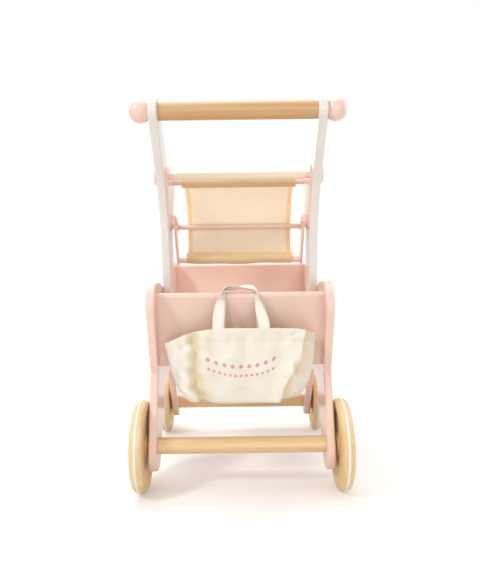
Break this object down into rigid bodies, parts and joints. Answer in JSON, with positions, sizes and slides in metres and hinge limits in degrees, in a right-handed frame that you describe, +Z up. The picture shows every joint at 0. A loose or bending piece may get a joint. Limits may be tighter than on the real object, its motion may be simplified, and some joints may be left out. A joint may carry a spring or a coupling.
{
  "type": "doll stroller",
  "caption": "Painted wooden doll stroller with turned wheels, a round push handle, a folding fabric hood and a tote bag hung on its rear board.",
  "frame": {"origin": "on the floor, under the middle of the stroller's bounding box", "axes": "+Z up, +Y the direction of travel, +X to the right as the person pushing sees it"},
  "size_m": [0.3256, 0.412, 0.562],
  "materials": {
    "pink_paint": "satin paint",
    "white_paint": "satin paint",
    "natural_wood": "clear lacquer",
    "ivory_rubber": "matte",
    "linen": "plain weave",
    "cotton": "canvas weave",
    "steel": "plain"
  },
  "bodies": {
    "frame": {"arm_screws": "steel", "brace_bar": "natural_wood", "brace_button_left": "pink_paint", "brace_button_right": "pink_paint", "brace_collar_left": "pink_paint", "brace_collar_right": "pink_paint", "front_axle": "steel", "front_axle_cap_left": "natural_wood", "front_axle_cap_right": "natural_wood", "front_board": "pink_paint", "front_crossbar": "natural_wood", "front_washer_left": "natural_wood", "front_washer_right": "natural_wood", "handle_arm_left": "white_paint", "handle_arm_right": "white_paint", "handle_bar": "natural_wood", "handle_knob_left": "pink_paint", "handle_knob_right": "pink_paint", "hood_bracket_left": "pink_paint", "hood_bracket_right": "pink_paint", "hood_pivot_pin_left": "pink_paint", "hood_pivot_pin_right": "pink_paint", "hood_top_rod": "pink_paint", "panel_screws": "steel", "rear_axle": "steel", "rear_axle_cap_left": "natural_wood", "rear_axle_cap_right": "natural_wood", "rear_board": "pink_paint", "rear_crossbar": "natural_wood", "rear_washer_left": "natural_wood", "rear_washer_right": "natural_wood", "seat_board": "pink_paint", "side_panel_left": "pink_paint", "side_panel_right": "pink_paint"},
    "hood_middle": {"hood_middle_rib_left": "pink_paint", "hood_middle_rib_right": "pink_paint", "hood_middle_rod": "pink_paint", "canopy_upper": "linen"},
    "hood_lower": {"hood_lower_rib_left": "pink_paint", "hood_lower_rib_right": "pink_paint", "hood_lower_rod": "pink_paint", "canopy_lower": "linen"},
    "bag": {"bag_body": "cotton", "bag_back_strap": "cotton", "bag_front_strap": "cotton"},
    "rear_wheel_left_turning": {"rear_wheel_left": "natural_wood", "rear_wheel_ring_left": "ivory_rubber"},
    "rear_wheel_right_turning": {"rear_wheel_right": "natural_wood", "rear_wheel_ring_right": "ivory_rubber"},
    "front_wheel_left_turning": {"front_wheel_left": "natural_wood", "front_wheel_ring_left": "ivory_rubber"},
    "front_wheel_right_turning": {"front_wheel_right": "natural_wood", "front_wheel_ring_right": "ivory_rubber"}
  },
  "joints": [
    {"name": "rear_wheel_left_spin", "type": "hinge", "parent": "frame", "child": "rear_wheel_left_turning", "pos_m": [-0.1465, -0.139, 0.067], "axis": [1, 0, 0], "continuous": true},
    {"name": "rear_wheel_right_spin", "type": "hinge", "parent": "frame", "child": "rear_wheel_right_turning", "pos_m": [0.1465, -0.139, 0.067], "axis": [1, 0, 0], "continuous": true},
    {"name": "front_wheel_left_spin", "type": "hinge", "parent": "frame", "child": "front_wheel_left_turning", "pos_m": [-0.1465, 0.149, 0.057], "axis": [1, 0, 0], "continuous": true},
    {"name": "front_wheel_right_spin", "type": "hinge", "parent": "frame", "child": "front_wheel_right_turning", "pos_m": [0.1465, 0.149, 0.057], "axis": [1, 0, 0], "continuous": true},
    {"name": "hood_middle_fold", "type": "hinge", "parent": "frame", "child": "hood_middle", "pos_m": [0, -0.059, 0.4], "axis": [1, 0, 0], "range_deg": [0, 54], "deforming": ["canopy_upper"]},
    {"name": "hood_lower_fold", "type": "hinge", "parent": "hood_middle", "child": "hood_lower", "pos_m": [0, -0.059, 0.4], "axis": [1, 0, 0], "range_deg": [0, 41], "deforming": ["canopy_lower"]},
    {"name": "bag_swing", "type": "hinge", "parent": "frame", "child": "bag", "pos_m": [0, -0.12368, 0.28489], "axis": [-1, 0, 0], "range_deg": [0, 40]}
  ]
}
